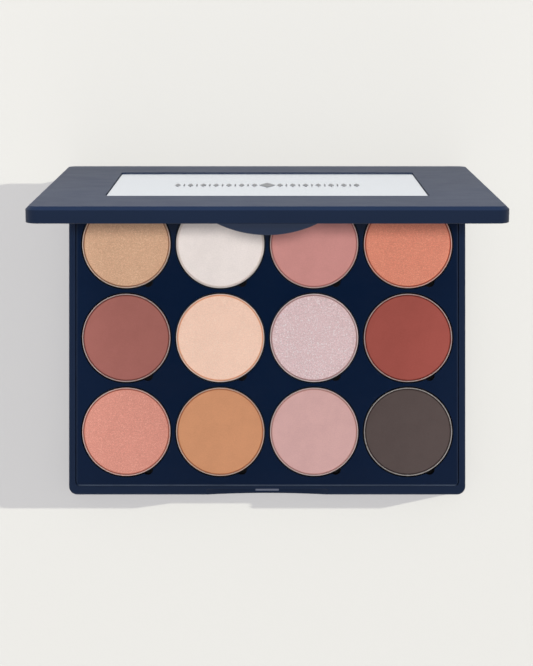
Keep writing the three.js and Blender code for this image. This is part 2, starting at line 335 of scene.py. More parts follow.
    def add(self, tool: "Workpiece") -> "Workpiece":
        """Joins the tool's shape to the piece."""
        return self._combine("UNION", tool)

    def soften(self, width: float, segments: int = 2, angle: float = math.radians(35)) -> "Workpiece":
        """Rounds every edge sharper than an angle.

        Args:
            width: the rounding's width.
            segments: how many strips make the round.
            angle: the least angle between two faces that is rounded.

        Returns:
            The piece.
        """
        return self._apply(
            "BEVEL", width=width, segments=segments, limit_method="ANGLE", angle_limit=angle,
            miter_outer="MITER_ARC", use_clamp_overlap=True,
        )

    def smooth(self, angle: float = math.radians(32)) -> "Workpiece":
        """Shades the piece smooth, with level faces kept level.

        Args:
            angle: the least angle between two faces that stays sharp.

        Returns:
            The piece.
        """
        take_up(self.piece)
        bpy.ops.object.shade_smooth_by_angle(angle=angle)
        return self._apply("WEIGHTED_NORMAL", keep_sharp=True, weight=50)

    # Copies and placing

    def copied(self, name: str, move: Vector) -> "Workpiece":
        """Copies the piece, with a mesh of its own, to another place.

        Args:
            name: the copy's name.
            move: how far the copy lies from the piece.

        Returns:
            The copy.
        """
        copy = self.piece.copy()
        copy.data = self.piece.data.copy()
        bpy.context.scene.collection.objects.link(copy)
        copy.data.transform(Matrix.Translation(move))
        copy.name = name
        copy.data.name = name
        return Workpiece(copy)

    def placed(self, change: Matrix) -> "Workpiece":
        """Moves, turns or stretches the piece's mesh, while its object stays at the origin.

        Args:
            change: the move, turn or stretch.

        Returns:
            The piece.
        """
        take_up(self.piece)
        self.piece.matrix_world = change
        bpy.ops.object.transform_apply(location=True, rotation=True, scale=True)
        return self

    def turned(self, about: Vector, angle: float) -> "Workpiece":
        """Turns the piece about a line along X.

        Args:
            about: a point on the line.
            angle: the turn, positive by the right hand about +X.

        Returns:
            The piece.
        """
        return self.placed(turn_about(about, angle))

    def joined(self, others: list["Workpiece"]) -> "Workpiece":
        """Makes this piece and others one object, without merging their shapes.

        Args:
            others: the pieces that it takes in.

        Returns:
            The piece.
        """
        take_up(self.piece, *(other.piece for other in others))
        bpy.ops.object.join()
        return self

    def fitted(self, body: str, finish: "Finish", replaces: str | None = None) -> "Workpiece":
        """Dresses the piece, lets it ride on its body and hides the node that it stands for.

        Args:
            body: the body that the piece moves with.
            finish: its finish.
            replaces: the node that it stands for, if any.

        Returns:
            The piece.
        """
        finish.dress(self.piece)
        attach(self.piece, body)
        if replaces:
            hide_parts(replaces)
        LOG.info("%s rides on %s, %d faces", self.piece.name, body, len(self.piece.data.polygons))
        return self


def rounded_block(name: str, low: Vector, high: Vector, corner: float, segments: int = 10) -> Workpiece:
    """Makes a block whose upright edges are round.

    Args:
        name: the piece's name.
        low: its lowest corner.
        high: its highest corner.
        corner: the radius of its upright edges.
        segments: how many strips make each corner.

    Returns:
        The block.
    """
    upright = lambda a, b: abs(a.z - b.z) > abs(a.x - b.x) + abs(a.y - b.y)
    return Workpiece.block(name, low, high).bevel(upright, corner, segments)


def arc_radius(chord: float, rise: float) -> float:
    """Returns the radius of an arc from its chord and its rise."""
    return ((chord / 2) ** 2 + rise**2) / (2 * rise)


def level_edges(height: float) -> Callable[[Vector, Vector], bool]:
    """Returns a test that picks the edges lying at a height."""
    return lambda a, b: max(abs(a.z - height), abs(b.z - height)) < TOUCH


def faces_at(height: float, up: float) -> Callable[[Vector, Vector], bool]:
    """Returns a test that picks the level faces at a height that look up (1) or down (-1)."""
    return lambda centre, normal: abs(centre.z - height) < TOUCH and normal.z * up > 0.9


# ---------------------------------------------------------------- shader wiring


@dataclass(frozen=True)
class Wire:
    """An output socket with Python's arithmetic on it."""

    board: "Board"
    socket: bpy.types.NodeSocket

    def _math(self, operation: str, *values: "Wire | float") -> "Wire":
        """Adds a Math node that works on these values in order."""
        return self.board.node("ShaderNodeMath", {"operation": operation}, dict(enumerate(values)))

    def __add__(self, other: "Wire | float") -> "Wire":
        """Sum."""
        return self._math("ADD", self, other)

    __radd__ = __add__

    def __sub__(self, other: "Wire | float") -> "Wire":
        """Difference."""
        return self._math("SUBTRACT", self, other)

    def __rsub__(self, other: "Wire | float") -> "Wire":
        """Difference from a number."""
        return self._math("SUBTRACT", other, self)

    def __mul__(self, other: "Wire | float") -> "Wire":
        """Product."""
        return self._math("MULTIPLY", self, other)

    __rmul__ = __mul__

    def __pow__(self, other: "Wire | float") -> "Wire":
        """Power."""
        return self._math("POWER", self, other)

    def between(self, low: float, high: float, start: float = 0.0, end: float = 1.0) -> "Wire":
        """Goes smoothly from start to end as the value goes from low to high.

        Args:
            low: where the change begins.
            high: where it ends.
            start: the value up to low.
            end: the value from high on.

        Returns:
            The new value.
        """
        values = {"Value": self, "From Min": low, "From Max": high, "To Min": start, "To Max": end}
        return self.board.node("ShaderNodeMapRange", {"interpolation_type": "SMOOTHSTEP"}, values)


Colour = tuple[float, float, float, float]
Value = Wire | float | Colour | tuple[float, float, float]


@dataclass
class Board:
    """A node tree under construction."""

    tree: bpy.types.NodeTree

    @classmethod
    def for_material(cls, name: str) -> tuple["Board", bpy.types.Material]:
        """Starts a material with an empty node tree.

        Args:
            name: the material's name.

        Returns:
            The board and the material.
        """
        material = bpy.data.materials.new(name)
        material.use_nodes = True
        material.node_tree.nodes.clear()
        return cls(material.node_tree), material

    def node(
        self,
        kind: str,
        settings: dict[str, object] | None = None,
        inputs: dict[int | str, Value] | None = None,
        output: int | str = 0,
    ) -> Wire:
        """Adds a node.

        Args:
            kind: the node's type.
            settings: its properties, set before its sockets.
            inputs: values or wires by socket name or number.
            output: which output to return.

        Returns:
            The chosen output.
        """
        made = self.tree.nodes.new(kind)
        for name, value in (settings or {}).items():
            setattr(made, name, value)
        for key, value in (inputs or {}).items():
            if isinstance(value, Wire):
                self.tree.links.new(value.socket, made.inputs[key])
            else:
                made.inputs[key].default_value = value
        return Wire(self, made.outputs[output])

    def place(self, centre: Vector = Vector((0, 0, 0)), tilt: float = 0.0) -> Wire:
        """Gives Object coordinates in millimetres, counted from a centre and turned about X.

        Args:
            centre: the point, in metres, that becomes the origin.
            tilt: the turn about X.

        Returns:
            The coordinates.
        """
        coordinates = self.node("ShaderNodeTexCoord", output="Object")
        moved = self.node(
            "ShaderNodeVectorMath", {"operation": "SUBTRACT"}, {0: coordinates, 1: tuple(centre)}
        )
        return self.node(
            "ShaderNodeMapping", inputs={"Vector": moved, "Rotation": (tilt, 0, 0), "Scale": (1 / MM,) * 3}
        )

    def stretch(self, vector: Wire, factors: tuple[float, float, float]) -> Wire:
        """Scales coordinates along each axis."""
        return self.node("ShaderNodeVectorMath", {"operation": "MULTIPLY"}, {0: vector, 1: factors})

    def along(self, vector: Wire, axis: Axis) -> Wire:
        """Gives one of a vector's coordinates."""
        return self.node("ShaderNodeSeparateXYZ", inputs={"Vector": vector}, output=axis.value)

    def facing(self, direction: Wire, aim: tuple[float, float, float]) -> Wire:
        """Gives the cosine of the angle between a direction and an aim."""
        inputs = {0: direction, 1: aim}
        return self.node("ShaderNodeVectorMath", {"operation": "DOT_PRODUCT"}, inputs, "Value")

    def noise(self, vector: Wire, size: float, detail: float = 2.0, roughness: float = 0.5) -> Wire:
        """Soft noise from 0 to 1.

        Args:
            vector: coordinates in millimetres.
            size: the width of its largest spots, in millimetres.
            detail: how many finer layers it has.
            roughness: how strong the finer layers are.

        Returns:
            The noise.
        """
        inputs = {"Vector": vector, "Scale": 1 / size, "Detail": detail, "Roughness": roughness}
        return self.node("ShaderNodeTexNoise", inputs=inputs)

    def flakes(self, vector: Wire, size: float) -> Wire:
        """A random value from 0 to 1 for each small cell.

        Args:
            vector: coordinates in millimetres.
            size: the cells' width, in millimetres.

        Returns:
            The value.
        """
        inputs = {"Vector": vector, "Scale": 1 / size}
        cells = self.node("ShaderNodeTexVoronoi", inputs=inputs, output="Color")
        return self.node("ShaderNodeSeparateColor", inputs={"Color": cells})

    def mix(self, share: Value, first: Value, second: Value) -> Wire:
        """Mixes two colours.

        Args:
            share: 0 for the first, 1 for the second.
            first: a colour or wire.
            second: a colour or wire.

        Returns:
            The mixed colour.
        """
        return self.node("ShaderNodeMix", {"data_type": "RGBA"}, {0: share, 6: first, 7: second}, 2)

    def bump(self, height: Wire, depth: float, strength: float = 1.0, over: Wire | None = None) -> Wire:
        """Turns a height into a normal.

        Args:
            height: the height, from 0 to 1.
            depth: the height's full range, in millimetres.
            strength: how much of it shows.
            over: a normal that it lies on.

        Returns:
            The normal.
        """
        inputs = {"Height": height, "Distance": depth * MM, "Strength": strength}
        if over is not None:
            inputs["Normal"] = over
        return self.node("ShaderNodeBump", inputs=inputs)

    def surface(self, **inputs: Value) -> None:
        """Ends the material in a Principled shader.

        Args:
            inputs: values or wires by socket name, in which underscores stand for spaces.
        """
        named = {name.replace("_", " "): value for name, value in inputs.items()}
        self.end(self.node("ShaderNodeBsdfPrincipled", inputs=named), "ShaderNodeOutputMaterial")

    def end(self, shader: Wire, kind: str) -> None:
        """Joins a shader to an output node of a kind."""
        out = self.tree.nodes.new(kind)
        self.tree.links.new(shader.socket, out.inputs["Surface"])


# ---------------------------------------------------------------- finishes


@dataclass(frozen=True)
class Finish:
    """A finish, made once and shared by the pieces that have it."""

    name: str
    slot: str

    def nodes(self, board: Board) -> None:
        """Builds the finish's nodes on a board.

        Args:
            board: the board of its material.
        """
        raise NotImplementedError

    def material(self) -> bpy.types.Material:
        """Gives the finish's material, which is made on first use.

        Returns:
            The material.
        """
        found = bpy.data.materials.get(self.name)
        if found is None:
            board, found = Board.for_material(self.name)
            self.nodes(board)
        return found

    def dress(self, piece: bpy.types.Object) -> None:
        """Puts the finish on all of a piece."""
        piece.data.materials.clear()
        piece.data.materials.append(self.material())


@dataclass(frozen=True)
class MouldedPlastic(Finish):
    """Moulded plastic with a fine texture, faint clouding and soft handling marks.

    Attributes:
        colour: the plastic's colour.
        roughness: its mean roughness.
        grain: the width of the mould texture, in millimetres.
        grain_depth: the texture's depth, in millimetres.
        gloss: the share of the usual reflection.
        cloud: the width of the faint clouds, in millimetres.
        mark: the width of the handling marks, in millimetres.
        speck: the width of the specks, in millimetres.
    """

    colour: Colour = (0, 0, 0, 1)
    roughness: float = 0.45
    grain: float = 0.12
    grain_depth: float = 0.005
    gloss: float = 0.4
    cloud: float = 26.0
    mark: float = 9.0
    speck: float = 0.45

    def nodes(self, board: Board) -> None:
        """Builds the plastic.

        Args:
            board: the board of its material.
        """
        at = board.place()
        clouds = board.noise(at, self.cloud, detail=3)
        marks = board.noise(board.stretch(at, (1, 2, 2)), self.mark, detail=4, roughness=0.6)
        grain = board.noise(at, self.grain, detail=2, roughness=0.6)
        specks = board.noise(at, self.speck, detail=1)
        tone = board.mix(clouds, scaled(self.colour, 0.88), scaled(self.colour, 1.14))
        speckled = board.mix(specks.between(0.55, 0.8) * 0.25, tone, scaled(self.colour, 1.35))
        board.surface(
            Base_Color=self.with_painted_highlight(board, at, speckled),
            Roughness=marks.between(0.25, 0.8, self.roughness - 0.02, self.roughness + 0.03),
            Specular_IOR_Level=self.gloss,
            Normal=board.bump(grain, self.grain_depth),
        )

    def with_painted_highlight(self, board: Board, at: Wire, colour: Wire) -> Wire:
        """Returns the colour with a painted highlight. Plain mouldings have none."""
        return colour


@dataclass(frozen=True)
class DeckPlastic(MouldedPlastic):
    """The deck's plastic, with a painted highlight: lighter along its outer edge, mostly at the front.

    Attributes:
        edge_highlight: the colour of the painted highlight along the edge.
        front: the y of the deck's front edge, in millimetres.
        side: how far its side edges lie from the middle, in millimetres.
        band: the painted highlight's width, in millimetres.
        side_share: how much of the painted highlight the side edges have.
    """

    edge_highlight: Colour = (0, 0, 0, 1)
    front: float = 0.0
    side: float = 0.0
    band: float = 0.35
    side_share: float = 0.13

    def with_painted_highlight(self, board: Board, at: Wire, colour: Wire) -> Wire:
        """Paints a highlight along the edge.

        Args:
            board: the material's board.
            at: coordinates in millimetres.
            colour: the colour before the painted highlight.

        Returns:
            The colour with the painted highlight along the edge.
        """
        across = board.along(at, Axis.X)
        from_middle = (across * across) ** 0.5
        at_front = board.along(at, Axis.Y).between(self.front, self.front + self.band, 1.0, 0.0)
        at_side = from_middle.between(self.side - self.band * 1.3, self.side - self.band * 0.7)
        patches = board.noise(at, 6, detail=2).between(0.3, 0.7, 0.75, 1.0)
        kept = (1 - at_front) * (1 - at_side * self.side_share)
        return board.mix((1 - kept) * patches, colour, self.edge_highlight)


class Shine(Enum):
    """How a pressed powder reflects."""

    MATTE = "matte"
    SATIN = "satin"
    SHIMMER = "shimmer"
    GLITTER = "glitter"


@dataclass(frozen=True)
class ShineRecipe:
    """What makes a shine.

    Attributes:
        metallic: the share of metallic flakes.
        roughness: mean roughness.
        grain: the width of the grains, in millimetres.
        contrast: how much the grains differ in brightness.
        sparkle: how much brighter the few brightest flakes are.
        relief: the depth of the grains, in millimetres.
    """

    metallic: float
    roughness: float
    grain: float
    contrast: float
    sparkle: float
    relief: float


SHINES: dict[Shine, ShineRecipe] = {
    Shine.MATTE: ShineRecipe(0.0, 0.95, 0.34, 0.10, 0.0, 0.014),
    Shine.SATIN: ShineRecipe(0.05, 0.7, 0.3, 0.11, 0.12, 0.018),
    Shine.SHIMMER: ShineRecipe(0.12, 0.5, 0.28, 0.24, 0.35, 0.028),
    Shine.GLITTER: ShineRecipe(0.16, 0.42, 0.3, 0.3, 0.5, 0.030),
}


@dataclass(frozen=True)
class PressedPowder(Finish):
    """Pressed powder: clouded colour, grain, flakes where it shines, and painted shade at its edge.

    Attributes:
        colour: the powder's colour.
        edge_shade: the colour of the painted shade at its edge.
        shine: how it reflects.
        centre: the middle of the cake.
        radius: the cake's radius.
        edge: the width of the painted shade at the edge.
        edge_blend: the width over which the painted edge shade comes in, in millimetres.
        edge_shade_share: how fully the painted shade covers the edge.
        cloud: the width of the clouds in its colour, in millimetres.
        spark: how many times brighter than the powder the brightest flakes are.
    """

    colour: Colour = (0, 0, 0, 1)
    edge_shade: Colour = (0, 0, 0, 1)
    shine: Shine = Shine.MATTE
    centre: tuple[float, float, float] = (0, 0, 0)
    radius: float = 12.5 * MM
    edge: float = 0.5 * MM
    edge_blend: float = 0.25
    edge_shade_share: float = 0.95
    cloud: float = 4.5
    spark: float = 1.9

    def nodes(self, board: Board) -> None:
        """Builds the powder.

        Args:
            board: the board of its material.
        """
        recipe = SHINES[self.shine]
        at = board.place(Vector(self.centre))
        flat = board.stretch(at, (1, 1, 0))
        from_centre = board.node("ShaderNodeVectorMath", {"operation": "LENGTH"}, {0: flat}, "Value")
        start = (self.radius - self.edge) / MM
        # rim marks where the powder's edge is darkened: painted shade where the powder meets the pan.
        rim = from_centre.between(start, start + self.edge_blend)
        clouds = board.noise(at, self.cloud, detail=4, roughness=0.6)
        grain = board.noise(at, recipe.grain, detail=3, roughness=0.65)
        flakes = board.flakes(at, recipe.grain * 0.8)
        tone = board.mix(clouds.between(0.3, 0.7), scaled(self.colour, 0.95), scaled(self.colour, 1.05))
        darker, lighter = (scaled(self.colour, 1 + way * recipe.contrast) for way in (-1, 1))
        grained = board.mix(grain.between(0.3, 0.7), darker, lighter)
        powder = board.mix(0.6 if recipe.sparkle else 0.4, tone, grained)
        if recipe.sparkle:
            sparks = flakes.between(0.75, 0.97) * recipe.sparkle
            powder = board.mix(sparks, powder, scaled(self.colour, self.spark))
        inputs: dict[str, Value] = {
            "Base_Color": board.mix(rim * self.edge_shade_share, powder, self.edge_shade),
            "Specular_IOR_Level": 0.12,
            "Normal": board.bump(grain, recipe.relief, over=board.bump(clouds, 0.05)),
        }
        if recipe.metallic:
            metallic = flakes.between(0.2, 0.8, 0.5 * recipe.metallic, 1.5 * recipe.metallic)
            inputs["Metallic"] = metallic * (1 - rim)
            inputs["Roughness"] = flakes.between(0.1, 0.9, recipe.roughness + 0.12, recipe.roughness - 0.12)
        else:
            inputs["Roughness"] = grain.between(0.2, 0.8, recipe.roughness - 0.05, 1.0)
        board.surface(**inputs)


@dataclass(frozen=True)
class DrawnMetal(Finish):
    """Sheet metal with fine drawing lines and a little tarnish.

    Attributes:
        colour: the metal's colour.
        roughness: its mean roughness.
        lines: how the coordinates are stretched, so that the lines run along the least factor.
        line_depth: the lines' depth, in millimetres.
    """

    colour: Colour = (0.6, 0.6, 0.6, 1)
    roughness: float = 0.35
    lines: tuple[float, float, float] = (1, 1, 0.04)
    line_depth: float = 0.004

    def nodes(self, board: Board) -> None:
        """Builds the metal.

        Args:
            board: the board of its material.
        """
        at = board.place()
        lines = board.noise(board.stretch(at, self.lines), 0.16, detail=3, roughness=0.6)
        tarnish = board.noise(at, 3, detail=3)
        board.surface(
            Base_Color=board.mix(tarnish.between(0.35, 0.75), self.colour, scaled(self.colour, 0.82)),
            Metallic=1.0,
            Roughness=lines.between(0.25, 0.75, self.roughness - 0.08, self.roughness + 0.1),
            Normal=board.bump(lines, self.line_depth),
        )


@dataclass(frozen=True)
class DustedMetal(Finish):
    """Tinplate of a pan, with pressed-in powder dusting its rim.

    Attributes:
        colour: the metal's colour.
        dust: the powder's colour.
        share: how much of the rim the powder covers.
        roughness: the metal's mean roughness.
    """

    colour: Colour = (0.6, 0.6, 0.6, 1)
    dust: Colour = (0, 0, 0, 1)
    share: float = 0.5
    roughness: float = 0.4

    def nodes(self, board: Board) -> None:
        """Builds the dusted metal.

        Args:
            board: the board of its material.
        """
        at = board.place()
        lines = board.noise(board.stretch(at, (1, 1, 0.05)), 0.16, detail=3, roughness=0.6)
        patches = board.noise(at, 1.6, detail=3, roughness=0.6)
        cover = patches.between(0.3, 0.7, 0.6 * self.share, min(1.0, 1.4 * self.share))
        board.surface(
            Base_Color=board.mix(cover, self.colour, self.dust),
            Metallic=1 - cover,
            Roughness=lines.between(0.25, 0.75, self.roughness - 0.06, self.roughness + 0.1) + cover * 0.4,
            Specular_IOR_Level=0.2,
            Normal=board.bump(lines, 0.004),
        )


@dataclass(frozen=True)
class Foil(Finish):
    """Smooth silver foil under a clear coat, with a faint ripple.

    Attributes:
        colour: the foil's colour.
        roughness: its mean roughness.
        tilt: the lid's tilt, which the pattern follows.
    """

    colour: Colour = (0.85, 0.87, 0.9, 1)
    roughness: float = 0.2
    tilt: float = 0.0

    def nodes(self, board: Board) -> None:
        """Builds the foil.

        Args:
            board: the board of its material.
        """
        at = board.place(tilt=self.tilt)
        ripple = board.noise(board.stretch(at, (0.5, 1, 1)), 4, detail=2)
        grain = board.noise(at, 0.25, detail=2, roughness=0.6)
        board.surface(
            Base_Color=board.mix(ripple, self.colour, scaled(self.colour, 0.95)),
            Metallic=0.92,
            Roughness=grain.between(0.25, 0.8, self.roughness - 0.05, self.roughness + 0.09),
            Normal=board.bump(grain, 0.002, over=board.bump(ripple, 0.01)),
        )


@dataclass(frozen=True)
class Looking(Finish):
    """Silvered mirror glass with the faintest wipe marks."""

    def nodes(self, board: Board) -> None:
        """Builds the mirror.

        Args:
            board: the board of its material.
        """
        at = board.place()
        wipes = board.noise(board.stretch(at, (0.25, 1, 1)), 7, detail=4, roughness=0.6)
        board.surface(
            Base_Color=board.mix(wipes, (0.86, 0.88, 0.88, 1), (0.83, 0.86, 0.86, 1)),
            Metallic=1.0,
            Roughness=wipes.between(0.4, 0.8, 0.012, 0.05),
        )


@dataclass(frozen=True)
class Speckled(Finish):
    """Dull speckled material, such as magnetic sheet or foam.

    Attributes:
        colour: the ground colour.
        speck: the speck colour.
        size: the specks' width, in millimetres.
    """

    colour: Colour = (0, 0, 0, 1)
    speck: Colour = (0, 0, 0, 1)
    size: float = 0.4

    def nodes(self, board: Board) -> None:
        """Builds the material.

        Args:
            board: the board of its material.
        """
        at = board.place()
        grain = board.noise(at, self.size, detail=3, roughness=0.7)
        board.surface(
            Base_Color=board.mix(grain.between(0.45, 0.7), self.colour, self.speck),
            Roughness=grain.between(0.2, 0.8, 0.75, 0.95),
            Normal=board.bump(grain, 0.03),
        )


NAVY = linear(16, 30, 53)
CASE_PLASTIC = MouldedPlastic("case_navy", "case_plastic", colour=NAVY, roughness=0.5, gloss=0.26)
DECK_LOW, DECK_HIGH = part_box("pan_tray")
# The deck's lighter front edge is a painted highlight, not wear.
DECK_PLASTIC = DeckPlastic(
    "deck_navy", "deck_plastic", colour=linear(6, 23, 48), roughness=0.17, grain=0.1, grain_depth=0.001,
    gloss=0.25, edge_highlight=linear(78, 90, 110), front=DECK_LOW.y / MM, side=DECK_HIGH.x / MM,
)
# The latch nib's light colour is a painted highlight on the nib.
LATCH_PLASTIC = MouldedPlastic(
    "latch_navy_painted_highlight", "case_plastic", colour=linear(88, 94, 112), roughness=0.35, grain=0.1, gloss=0.4
)
# The tab is the lid's navy made lighter: a painted reflection.
TAB_PLASTIC = MouldedPlastic("tab_navy_painted_reflection", "case_plastic", colour=linear(24, 37, 60), roughness=0.3, gloss=0.55)
BEZEL_PLASTIC = MouldedPlastic(
    "bezel_navy", "frame_plastic", colour=NAVY, roughness=0.4, grain=0.1, gloss=0.35
)
# The ornament is the plaque's silver made darker: painted shade on the raised marks.
SHADED_ORNAMENT_METAL = DrawnMetal("ornament_silver_painted_shade", "plaque_metal", linear(150, 153, 160), 0.35, (1, 0.05, 1), 0.003)
PAN_TIN = linear(214, 210, 206)
PAN_DUST = linear(186, 178, 176)
PIN_METAL = DrawnMetal(
    "pin_steel", "pin_steel", colour=linear(190, 192, 196), roughness=0.3, lines=(0.04, 1, 1),
    line_depth=0.003,
)
# Near black: the sheet's own dark colour, darkened further to paint the shade in the gaps round the pans.
MAGNET = Speckled("magnet_sheet_dull", "magnet", linear(16, 16, 18), linear(34, 34, 36), 0.3)
FOAM = Speckled("foam_tape", "tape", linear(216, 214, 208), linear(236, 234, 228), 0.5)
GLASS = Looking("mirror_silver", "mirror_glass")


@dataclass(frozen=True)
class Shade:
    """One powder of the palette.

    Attributes:
        name: its name.
        colour: its colour.
        edge_shade: the colour of the painted shade at its edge.
        shine: how it reflects.
    """

    name: str
    colour: Colour
    edge_shade: Colour
    shine: Shine


# The third colour of each shade is the painted shade at the powder's edge.
SHADES: tuple[Shade, ...] = (
    Shade("gold_tan", linear(210, 167, 137), linear(146, 102, 76), Shine.SHIMMER),
    Shade("cream", linear(229, 219, 215), linear(222, 208, 201), Shine.MATTE),
    Shade("rose", linear(196, 137, 132), linear(168, 108, 103), Shine.MATTE),
    Shade("coral", linear(219, 137, 114), linear(156, 72, 52), Shine.SHIMMER),
    Shade("mauve_brown", linear(155, 97, 90), linear(114, 64, 58), Shine.MATTE),
    Shade("peach", linear(238, 200, 180), linear(222, 158, 122), Shine.SATIN),
    Shade("silver_pink", linear(220, 191, 193), linear(168, 128, 126), Shine.GLITTER),
    Shade("brick", linear(152, 78, 70), linear(110, 46, 38), Shine.MATTE),
    Shade("salmon", linear(212, 143, 128), linear(158, 90, 74), Shine.SHIMMER),
    Shade("caramel", linear(199, 141, 105), linear(166, 106, 74), Shine.MATTE),
    Shade("dusty_pink", linear(203, 162, 159), linear(174, 128, 122), Shine.MATTE),
    Shade("charcoal", linear(83, 72, 70), linear(58, 48, 46), Shine.MATTE),
)


# ---------------------------------------------------------------- the frame's sizes


@dataclass(frozen=True)
class LidTurn:
    """The hinge line and the lid's rest angle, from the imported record.

    Attributes:
        point: a point on the hinge line.
        angle: how far the lid stands open from shut.
    """

    point: Vector
    angle: float

    @classmethod
    def from_record(cls) -> "LidTurn":
        """Reads the hinge from the record's joints."""
        joint = next(j for j in frame["joints"] if j["name"] == "lid_hinge")
        return cls(Vector(joint["pos_m"]), math.radians(-joint["range_deg"][0]))

    def shut_box(self, node: str) -> tuple[Vector, Vector]:
        """Gives a lid node's lowest and highest corners with the lid shut.

        Args:
            node: the node's name.

        Returns:
            The two corners.
        """
        back = turn_about(self.point, self.angle)
        points = [back @ vertex.co for vertex in frame["nodes"][node].data.vertices]
        low = Vector(tuple(min(point[axis] for point in points) for axis in range(3)))
        high = Vector(tuple(max(point[axis] for point in points) for axis in range(3)))
        return low, high

    def open_up(self, work: Workpiece) -> Workpiece:
        """Turns a piece from shut to the rest angle."""
        return work.turned(self.point, -self.angle)


TURN = LidTurn.from_record()
SILVER = Foil("plaque_silver", "plaque_metal", linear(231, 239, 252), 0.16, TURN.angle)


@dataclass(frozen=True)
class HingeSizes:
    """Sizes of the hinge that case and lid share.

    Attributes:
        barrel: the radius of ears and knuckles.
        clearance: the radius of the room that they turn in.
        end_gap: the gap between an ear's end and a knuckle's.
        ear_inner: where each inner ear begins, from the middle of the case.
        knuckle_inner: where the room for each knuckle begins.
        knuckle_outer: where it ends.
        ear_wall: how far the pin's hole stays inside the inner ear.
        pin_hole: the radius of the hole in the ears.
        pin_play: how much wider the hole in a knuckle is.
        lid_chamfer: the slope behind the hinge line under the lid.
        case_chamfer: the slope behind the hinge line on the case.
        reach: how far the wedges that cut these slopes reach.
    """

    barrel: float = 2.0 * MM
    clearance: float = 2.35 * MM
    end_gap: float = 0.3 * MM
    ear_inner: float = 25.5 * MM
    knuckle_inner: float = 31.5 * MM
    knuckle_outer: float = 45.5 * MM
    ear_wall: float = 0.8 * MM
    pin_hole: float = 0.65 * MM
    pin_play: float = 0.25 * MM
    lid_chamfer: float = math.radians(47)
    case_chamfer: float = math.radians(58)
    reach: float = 8 * MM

    def rod(self, radius: float, start: float, end: float) -> Workpiece:
        """Makes a round bar on the hinge line from one x to another."""
        centre = Vector(((start + end) / 2, TURN.point.y, TURN.point.z))
        return Workpiece.bar("hinge_tool", centre, radius, abs(end - start), Axis.X, sides=48)

    def wedge(self, far: float, up: int, slope: float) -> Workpiece:
        """Makes the tool that slopes a part off behind the hinge line.

        Args:
            far: how far it reaches to each side.
            up: 1 for a tool above the hinge line, -1 for one below it.
            slope: the slope's angle.

        Returns:
            The tool.
        """
        bottom, top = sorted((TURN.point.z, TURN.point.z + up * self.reach))
        low, high = Vector((-far, TURN.point.y, bottom)), Vector((far, TURN.point.y + self.reach, top))
        return Workpiece.block("wedge", low, high).turned(TURN.point, -up * slope)


HINGE = HingeSizes()
PAST = 1.5 * MM
TRAY_GAP = 0.15 * MM


def cavity_box() -> tuple[Vector, Vector]:
    """Gives the corners, in plan, of the hollow in case and lid, from the tray and its gap."""
    gap = Vector((TRAY_GAP, TRAY_GAP, 0))
    return DECK_LOW - gap, DECK_HIGH + gap


# ---------------------------------------------------------------- sub-assemblies


